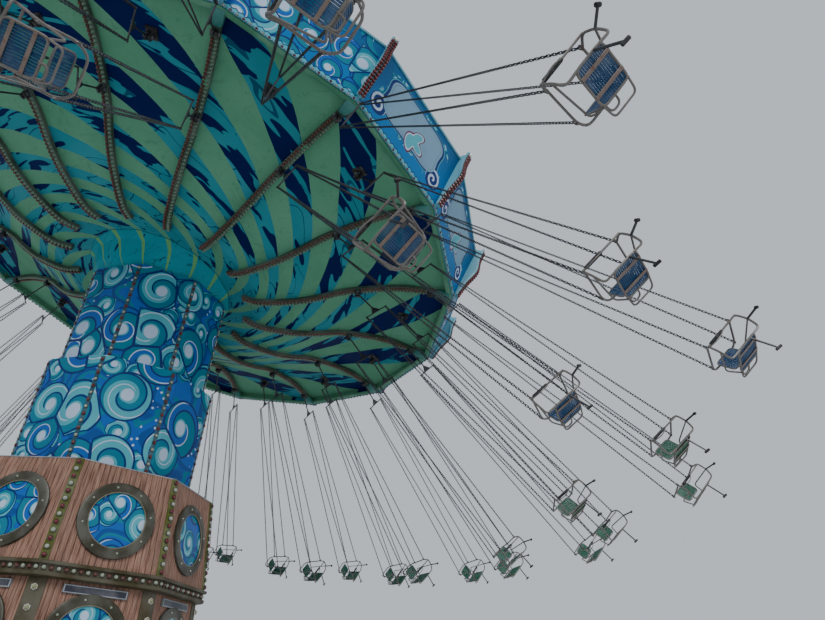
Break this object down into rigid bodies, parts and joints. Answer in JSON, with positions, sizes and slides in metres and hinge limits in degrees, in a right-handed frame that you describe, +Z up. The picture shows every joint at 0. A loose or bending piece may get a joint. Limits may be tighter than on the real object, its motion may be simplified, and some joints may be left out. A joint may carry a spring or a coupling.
{
  "type": "chair swing ride",
  "caption": "Octagonal base with a two-stage lifting tower, a tilting, turning crown with a painted ceiling, and chairs on chains in flight round it.",
  "frame": {"origin": "on the ground in the middle of the base, on the tower's axis", "axes": "+Z up along the tower; -Y toward the picture's viewer, +X to the viewer's right; the crown leans toward 17.77 degrees from +X"},
  "size_m": [20.743, 20.9443, 12.1441],
  "materials": {
    "plank_red": "satin",
    "olive_trim": "satin",
    "bearing_grey": "satin",
    "tower_blue": "gloss",
    "steel_grey": "satin",
    "neck_teal": "gloss",
    "ceiling_green": "gloss",
    "fascia_blue": "gloss",
    "roof_grey": "matte",
    "chair_blue": "satin",
    "chair_green": "satin"
  },
  "bodies": {
    "base": {"base_lower_tier": "plank_red", "base_cornice": "olive_trim", "base_upper_tier": "plank_red", "base_roof": "olive_trim"},
    "turntable": {"turntable_drum": "bearing_grey"},
    "lower_tower": {"lower_sleeve": "tower_blue"},
    "upper_tower": {"upper_sleeve": "tower_blue"},
    "tilting_head": {"tilt_head": "steel_grey"},
    "crown": {"crown_neck": "neck_teal", "crown_ceiling": "ceiling_green", "crown_fascia": "fascia_blue", "crown_roof": "roof_grey"},
    "chair_outer_01": {"chair_outer_01": "chair_blue"},
    "chair_outer_02": {"chair_outer_02": "chair_blue"},
    "chair_outer_03": {"chair_outer_03": "chair_green"},
    "chair_outer_04": {"chair_outer_04": "chair_green"},
    "chair_outer_05": {"chair_outer_05": "chair_green"},
    "chair_outer_06": {"chair_outer_06": "chair_green"},
    "chair_outer_07": {"chair_outer_07": "chair_green"},
    "chair_outer_08": {"chair_outer_08": "chair_green"},
    "chair_outer_09": {"chair_outer_09": "chair_green"},
    "chair_outer_10": {"chair_outer_10": "chair_green"},
    "chair_outer_11": {"chair_outer_11": "chair_blue"},
    "chair_outer_12": {"chair_outer_12": "chair_blue"},
    "chair_outer_13": {"chair_outer_13": "chair_blue"},
    "chair_outer_14": {"chair_outer_14": "chair_blue"},
    "chair_outer_15": {"chair_outer_15": "chair_blue"},
    "chair_outer_16": {"chair_outer_16": "chair_blue"},
    "chair_middle_01": {"chair_middle_01": "chair_blue"},
    "chair_middle_02": {"chair_middle_02": "chair_green"},
    "chair_middle_03": {"chair_middle_03": "chair_green"},
    "chair_middle_04": {"chair_middle_04": "chair_green"},
    "chair_middle_05": {"chair_middle_05": "chair_green"},
    "chair_middle_06": {"chair_middle_06": "chair_green"},
    "chair_middle_07": {"chair_middle_07": "chair_green"},
    "chair_middle_08": {"chair_middle_08": "chair_green"},
    "chair_middle_09": {"chair_middle_09": "chair_green"},
    "chair_middle_10": {"chair_middle_10": "chair_blue"},
    "chair_middle_11": {"chair_middle_11": "chair_blue"},
    "chair_middle_12": {"chair_middle_12": "chair_blue"},
    "chair_middle_13": {"chair_middle_13": "chair_blue"},
    "chair_middle_14": {"chair_middle_14": "chair_blue"},
    "chair_middle_15": {"chair_middle_15": "chair_blue"},
    "chair_middle_16": {"chair_middle_16": "chair_blue"},
    "chair_inner_01": {"chair_inner_01": "chair_blue"},
    "chair_inner_02": {"chair_inner_02": "chair_blue"},
    "chair_inner_03": {"chair_inner_03": "chair_green"},
    "chair_inner_04": {"chair_inner_04": "chair_green"},
    "chair_inner_05": {"chair_inner_05": "chair_green"},
    "chair_inner_06": {"chair_inner_06": "chair_green"},
    "chair_inner_07": {"chair_inner_07": "chair_green"},
    "chair_inner_08": {"chair_inner_08": "chair_green"},
    "chair_inner_09": {"chair_inner_09": "chair_green"},
    "chair_inner_10": {"chair_inner_10": "chair_green"},
    "chair_inner_11": {"chair_inner_11": "chair_blue"},
    "chair_inner_12": {"chair_inner_12": "chair_blue"},
    "chair_inner_13": {"chair_inner_13": "chair_blue"},
    "chair_inner_14": {"chair_inner_14": "chair_blue"},
    "chair_inner_15": {"chair_inner_15": "chair_blue"},
    "chair_inner_16": {"chair_inner_16": "chair_blue"}
  },
  "joints": [
    {"name": "tower_turn", "type": "hinge", "parent": "base", "child": "turntable", "pos_m": [0, 0, 0.3], "axis": [0, 0, 1], "continuous": true},
    {"name": "tower_lift", "type": "slide", "parent": "turntable", "child": "lower_tower", "axis": [0, 0, 1], "range_m": [-1.35, 0]},
    {"name": "upper_lift", "type": "slide", "parent": "lower_tower", "child": "upper_tower", "axis": [0, 0, 1], "range_m": [-1.35, 0]},
    {"name": "crown_tilt", "type": "hinge", "parent": "upper_tower", "child": "tilting_head", "pos_m": [0, 0, 8.8], "axis": [-0.3052, 0.9523, 0], "range_deg": [-12.31, 0]},
    {"name": "crown_spin", "type": "hinge", "parent": "tilting_head", "child": "crown", "pos_m": [0.14435, 0.04626, 9.49465], "axis": [0.203, 0.0651, 0.977], "continuous": true},
    {"name": "swing_outer_01", "type": "hinge", "parent": "crown", "child": "chair_outer_01", "pos_m": [1.7186, -5.27641, 9.36847], "axis": [-0.9197, -0.3298, 0.2131], "range_deg": [-52, 5]},
    {"name": "swing_outer_02", "type": "hinge", "parent": "crown", "child": "chair_outer_02", "pos_m": [3.58338, -4.27359, 8.91417], "axis": [-0.7211, -0.6651, 0.1941], "range_deg": [-55.69, 5.36]},
    {"name": "swing_outer_03", "type": "hinge", "parent": "crown", "child": "chair_outer_03", "pos_m": [4.91995, -2.61461, 8.52593], "axis": [-0.4127, -0.8992, 0.1456], "range_deg": [-58.85, 5.66]},
    {"name": "swing_outer_04", "type": "hinge", "parent": "crown", "child": "chair_outer_04", "pos_m": [5.52485, -0.55201, 8.26286], "axis": [-0.0414, -0.9963, 0.075], "range_deg": [-61, 5.87]},
    {"name": "swing_outer_05", "type": "hinge", "parent": "crown", "child": "chair_outer_05", "pos_m": [5.30598, 1.60018, 8.16501], "axis": [0.3361, -0.9418, -0.0071], "range_deg": [-61.82, 5.95]},
    {"name": "swing_outer_06", "type": "hinge", "parent": "crown", "child": "chair_outer_06", "pos_m": [4.29666, 3.51431, 8.24727], "axis": [0.6625, -0.7439, -0.0881], "range_deg": [-61.18, 5.89]},
    {"name": "swing_outer_07", "type": "hinge", "parent": "crown", "child": "chair_outer_07", "pos_m": [2.65056, 4.89898, 8.49713], "axis": [0.888, -0.4327, -0.1557], "range_deg": [-59.18, 5.69]},
    {"name": "swing_outer_08", "type": "hinge", "parent": "crown", "child": "chair_outer_08", "pos_m": [0.61827, 5.54338, 8.87653], "axis": [0.9783, -0.0557, -0.1996], "range_deg": [-56.11, 5.4]},
    {"name": "swing_outer_09", "type": "hinge", "parent": "crown", "child": "chair_outer_09", "pos_m": [-1.49081, 5.34941, 9.32773], "axis": [0.9197, 0.3298, -0.2131], "range_deg": [-52.46, 5.05]},
    {"name": "swing_outer_10", "type": "hinge", "parent": "crown", "child": "chair_outer_10", "pos_m": [-3.35558, 4.3466, 9.78203], "axis": [0.7211, 0.6651, -0.1941], "range_deg": [-48.78, 4.69]},
    {"name": "swing_outer_11", "type": "hinge", "parent": "crown", "child": "chair_outer_11", "pos_m": [-4.69215, 2.68761, 10.17027], "axis": [0.4127, 0.8992, -0.1456], "range_deg": [-45.62, 4.39]},
    {"name": "swing_outer_12", "type": "hinge", "parent": "crown", "child": "chair_outer_12", "pos_m": [-5.29705, 0.62502, 10.43334], "axis": [0.0414, 0.9963, -0.075], "range_deg": [-43.47, 4.18]},
    {"name": "swing_outer_13", "type": "hinge", "parent": "crown", "child": "chair_outer_13", "pos_m": [-5.07818, -1.52717, 10.53119], "axis": [-0.3361, 0.9418, 0.0071], "range_deg": [-42.65, 4.11]},
    {"name": "swing_outer_14", "type": "hinge", "parent": "crown", "child": "chair_outer_14", "pos_m": [-4.06887, -3.44131, 10.44893], "axis": [-0.6625, 0.7439, 0.0881], "range_deg": [-43.29, 4.17]},
    {"name": "swing_outer_15", "type": "hinge", "parent": "crown", "child": "chair_outer_15", "pos_m": [-2.42276, -4.82598, 10.19908], "axis": [-0.888, 0.4327, 0.1557], "range_deg": [-45.3, 4.36]},
    {"name": "swing_outer_16", "type": "hinge", "parent": "crown", "child": "chair_outer_16", "pos_m": [-0.39047, -5.47038, 9.81967], "axis": [-0.9783, 0.0557, 0.1996], "range_deg": [-48.35, 4.65]},
    {"name": "swing_middle_01", "type": "hinge", "parent": "crown", "child": "chair_middle_01", "pos_m": [2.46359, -4.4286, 9.13672], "axis": [-0.8364, -0.5072, 0.2076], "range_deg": [-50.48, 4.86]},
    {"name": "swing_middle_02", "type": "hinge", "parent": "crown", "child": "chair_middle_02", "pos_m": [3.94859, -3.19388, 8.7459], "axis": [-0.578, -0.7975, 0.1732], "range_deg": [-53.97, 5.19]},
    {"name": "swing_middle_03", "type": "hinge", "parent": "crown", "child": "chair_middle_03", "pos_m": [4.84918, -1.46756, 8.44378], "axis": [-0.2315, -0.9663, 0.1125], "range_deg": [-56.68, 5.45]},
    {"name": "swing_middle_04", "type": "hinge", "parent": "crown", "child": "chair_middle_04", "pos_m": [5.02825, 0.48755, 8.27636], "axis": [0.1502, -0.988, 0.0346], "range_deg": [-58.19, 5.6]},
    {"name": "swing_middle_05", "type": "hinge", "parent": "crown", "child": "chair_middle_05", "pos_m": [4.45853, 2.37379, 8.26913], "axis": [0.5091, -0.8594, -0.0486], "range_deg": [-58.28, 5.61]},
    {"name": "swing_middle_06", "type": "hinge", "parent": "crown", "child": "chair_middle_06", "pos_m": [3.22676, 3.904, 8.42318], "axis": [0.7904, -0.5998, -0.1243], "range_deg": [-56.93, 5.48]},
    {"name": "swing_middle_07", "type": "hinge", "parent": "crown", "child": "chair_middle_07", "pos_m": [1.52048, 4.84522, 8.71508], "axis": [0.9514, -0.249, -0.1811], "range_deg": [-54.36, 5.23]},
    {"name": "swing_middle_08", "type": "hinge", "parent": "crown", "child": "chair_middle_08", "pos_m": [-0.40057, 5.05416, 9.10037], "axis": [0.9676, 0.1397, -0.2104], "range_deg": [-50.93, 4.9]},
    {"name": "swing_middle_09", "type": "hinge", "parent": "crown", "child": "chair_middle_09", "pos_m": [-2.24391, 4.49901, 9.5204], "axis": [0.8364, 0.5072, -0.2076], "range_deg": [-47.19, 4.54]},
    {"name": "swing_middle_10", "type": "hinge", "parent": "crown", "child": "chair_middle_10", "pos_m": [-3.72892, 3.26428, 9.91123], "axis": [0.578, 0.7975, -0.1732], "range_deg": [-43.71, 4.21]},
    {"name": "swing_middle_11", "type": "hinge", "parent": "crown", "child": "chair_middle_11", "pos_m": [-4.6295, 1.53796, 10.21335], "axis": [0.2315, 0.9663, -0.1125], "range_deg": [-41, 3.95]},
    {"name": "swing_middle_12", "type": "hinge", "parent": "crown", "child": "chair_middle_12", "pos_m": [-4.80857, -0.41714, 10.38077], "axis": [-0.1502, 0.988, -0.0346], "range_deg": [-39.48, 3.8]},
    {"name": "swing_middle_13", "type": "hinge", "parent": "crown", "child": "chair_middle_13", "pos_m": [-4.23885, -2.30338, 10.388], "axis": [-0.5091, 0.8594, 0.0486], "range_deg": [-39.39, 3.79]},
    {"name": "swing_middle_14", "type": "hinge", "parent": "crown", "child": "chair_middle_14", "pos_m": [-3.00709, -3.83359, 10.23394], "axis": [-0.7904, 0.5998, 0.1243], "range_deg": [-40.74, 3.92]},
    {"name": "swing_middle_15", "type": "hinge", "parent": "crown", "child": "chair_middle_15", "pos_m": [-1.3008, -4.77481, 9.94205], "axis": [-0.9514, 0.249, 0.1811], "range_deg": [-43.32, 4.17]},
    {"name": "swing_middle_16", "type": "hinge", "parent": "crown", "child": "chair_middle_16", "pos_m": [0.62025, -4.98375, 9.55675], "axis": [-0.9676, -0.1397, 0.2104], "range_deg": [-46.74, 4.5]},
    {"name": "swing_inner_01", "type": "hinge", "parent": "crown", "child": "chair_inner_01", "pos_m": [1.23439, -3.90917, 9.05051], "axis": [-0.9197, -0.3298, 0.2131], "range_deg": [-45.92, 4.42]},
    {"name": "swing_inner_02", "type": "hinge", "parent": "crown", "child": "chair_inner_02", "pos_m": [2.61197, -3.16835, 8.7149], "axis": [-0.7211, -0.6651, 0.1941], "range_deg": [-49.6, 4.77]},
    {"name": "swing_inner_03", "type": "hinge", "parent": "crown", "child": "chair_inner_03", "pos_m": [3.59935, -1.9428, 8.42809], "axis": [-0.4127, -0.8992, 0.1456], "range_deg": [-52.76, 5.08]},
    {"name": "swing_inner_04", "type": "hinge", "parent": "crown", "child": "chair_inner_04", "pos_m": [4.04621, -0.41908, 8.23375], "axis": [-0.0414, -0.9963, 0.075], "range_deg": [-54.91, 5.28]},
    {"name": "swing_inner_05", "type": "hinge", "parent": "crown", "child": "chair_inner_05", "pos_m": [3.88452, 1.17083, 8.16146], "axis": [0.3361, -0.9418, -0.0071], "range_deg": [-55.73, 5.36]},
    {"name": "swing_inner_06", "type": "hinge", "parent": "crown", "child": "chair_inner_06", "pos_m": [3.1389, 2.58487, 8.22224], "axis": [0.6625, -0.7439, -0.0881], "range_deg": [-55.08, 5.3]},
    {"name": "swing_inner_07", "type": "hinge", "parent": "crown", "child": "chair_inner_07", "pos_m": [1.92286, 3.60778, 8.40681], "axis": [0.888, -0.4327, -0.1557], "range_deg": [-53.08, 5.11]},
    {"name": "swing_inner_08", "type": "hinge", "parent": "crown", "child": "chair_inner_08", "pos_m": [0.42153, 4.08383, 8.68709], "axis": [0.9783, -0.0557, -0.1996], "range_deg": [-50.02, 4.81]},
    {"name": "swing_inner_09", "type": "hinge", "parent": "crown", "child": "chair_inner_09", "pos_m": [-1.13653, 3.94053, 9.02041], "axis": [0.9197, 0.3298, -0.2131], "range_deg": [-46.37, 4.46]},
    {"name": "swing_inner_10", "type": "hinge", "parent": "crown", "child": "chair_inner_10", "pos_m": [-2.51411, 3.19972, 9.35602], "axis": [0.7211, 0.6651, -0.1941], "range_deg": [-42.69, 4.11]},
    {"name": "swing_inner_11", "type": "hinge", "parent": "crown", "child": "chair_inner_11", "pos_m": [-3.50149, 1.97416, 9.64283], "axis": [0.4127, 0.8992, -0.1456], "range_deg": [-39.53, 3.8]},
    {"name": "swing_inner_12", "type": "hinge", "parent": "crown", "child": "chair_inner_12", "pos_m": [-3.94835, 0.45044, 9.83717], "axis": [0.0414, 0.9963, -0.075], "range_deg": [-37.38, 3.6]},
    {"name": "swing_inner_13", "type": "hinge", "parent": "crown", "child": "chair_inner_13", "pos_m": [-3.78666, -1.13947, 9.90945], "axis": [-0.3361, 0.9418, 0.0071], "range_deg": [-36.56, 3.52]},
    {"name": "swing_inner_14", "type": "hinge", "parent": "crown", "child": "chair_inner_14", "pos_m": [-3.04104, -2.55351, 9.84868], "axis": [-0.6625, 0.7439, 0.0881], "range_deg": [-37.2, 3.58]},
    {"name": "swing_inner_15", "type": "hinge", "parent": "crown", "child": "chair_inner_15", "pos_m": [-1.825, -3.57642, 9.66411], "axis": [-0.888, 0.4327, 0.1557], "range_deg": [-39.2, 3.77]},
    {"name": "swing_inner_16", "type": "hinge", "parent": "crown", "child": "chair_inner_16", "pos_m": [-0.32367, -4.05246, 9.38382], "axis": [-0.9783, 0.0557, 0.1996], "range_deg": [-42.27, 4.07]}
  ],
  "couplings": [
    {"joint": "upper_lift", "follows": "tower_lift", "ratio": 1},
    {"joint": "crown_tilt", "follows": "tower_lift", "rad_per_m": 0.1591},
    {"joint": "swing_outer_02", "follows": "swing_outer_01", "ratio": 1.0709},
    {"joint": "swing_outer_03", "follows": "swing_outer_01", "ratio": 1.1316},
    {"joint": "swing_outer_04", "follows": "swing_outer_01", "ratio": 1.173},
    {"joint": "swing_outer_05", "follows": "swing_outer_01", "ratio": 1.1887},
    {"joint": "swing_outer_06", "follows": "swing_outer_01", "ratio": 1.1764},
    {"joint": "swing_outer_07", "follows": "swing_outer_01", "ratio": 1.1379},
    {"joint": "swing_outer_08", "follows": "swing_outer_01", "ratio": 1.079},
    {"joint": "swing_outer_09", "follows": "swing_outer_01", "ratio": 1.0088},
    {"joint": "swing_outer_10", "follows": "swing_outer_01", "ratio": 0.9379},
    {"joint": "swing_outer_11", "follows": "swing_outer_01", "ratio": 0.8772},
    {"joint": "swing_outer_12", "follows": "swing_outer_01", "ratio": 0.8358},
    {"joint": "swing_outer_13", "follows": "swing_outer_01", "ratio": 0.8201},
    {"joint": "swing_outer_14", "follows": "swing_outer_01", "ratio": 0.8324},
    {"joint": "swing_outer_15", "follows": "swing_outer_01", "ratio": 0.871},
    {"joint": "swing_outer_16", "follows": "swing_outer_01", "ratio": 0.9298},
    {"joint": "swing_middle_01", "follows": "swing_outer_01", "ratio": 0.9707},
    {"joint": "swing_middle_02", "follows": "swing_outer_01", "ratio": 1.0378},
    {"joint": "swing_middle_03", "follows": "swing_outer_01", "ratio": 1.0899},
    {"joint": "swing_middle_04", "follows": "swing_outer_01", "ratio": 1.119},
    {"joint": "swing_middle_05", "follows": "swing_outer_01", "ratio": 1.1207},
    {"joint": "swing_middle_06", "follows": "swing_outer_01", "ratio": 1.0948},
    {"joint": "swing_middle_07", "follows": "swing_outer_01", "ratio": 1.0452},
    {"joint": "swing_middle_08", "follows": "swing_outer_01", "ratio": 0.9794},
    {"joint": "swing_middle_09", "follows": "swing_outer_01", "ratio": 0.9075},
    {"joint": "swing_middle_10", "follows": "swing_outer_01", "ratio": 0.8404},
    {"joint": "swing_middle_11", "follows": "swing_outer_01", "ratio": 0.7883},
    {"joint": "swing_middle_12", "follows": "swing_outer_01", "ratio": 0.7592},
    {"joint": "swing_middle_13", "follows": "swing_outer_01", "ratio": 0.7575},
    {"joint": "swing_middle_14", "follows": "swing_outer_01", "ratio": 0.7834},
    {"joint": "swing_middle_15", "follows": "swing_outer_01", "ratio": 0.833},
    {"joint": "swing_middle_16", "follows": "swing_outer_01", "ratio": 0.8988},
    {"joint": "swing_inner_01", "follows": "swing_outer_01", "ratio": 0.8829},
    {"joint": "swing_inner_02", "follows": "swing_outer_01", "ratio": 0.9537},
    {"joint": "swing_inner_03", "follows": "swing_outer_01", "ratio": 1.0145},
    {"joint": "swing_inner_04", "follows": "swing_outer_01", "ratio": 1.0559},
    {"joint": "swing_inner_05", "follows": "swing_outer_01", "ratio": 1.0716},
    {"joint": "swing_inner_06", "follows": "swing_outer_01", "ratio": 1.0592},
    {"joint": "swing_inner_07", "follows": "swing_outer_01", "ratio": 1.0207},
    {"joint": "swing_inner_08", "follows": "swing_outer_01", "ratio": 0.9619},
    {"joint": "swing_inner_09", "follows": "swing_outer_01", "ratio": 0.8917},
    {"joint": "swing_inner_10", "follows": "swing_outer_01", "ratio": 0.8208},
    {"joint": "swing_inner_11", "follows": "swing_outer_01", "ratio": 0.76},
    {"joint": "swing_inner_12", "follows": "swing_outer_01", "ratio": 0.7187},
    {"joint": "swing_inner_13", "follows": "swing_outer_01", "ratio": 0.7029},
    {"joint": "swing_inner_14", "follows": "swing_outer_01", "ratio": 0.7153},
    {"joint": "swing_inner_15", "follows": "swing_outer_01", "ratio": 0.7538},
    {"joint": "swing_inner_16", "follows": "swing_outer_01", "ratio": 0.8127}
  ]
}
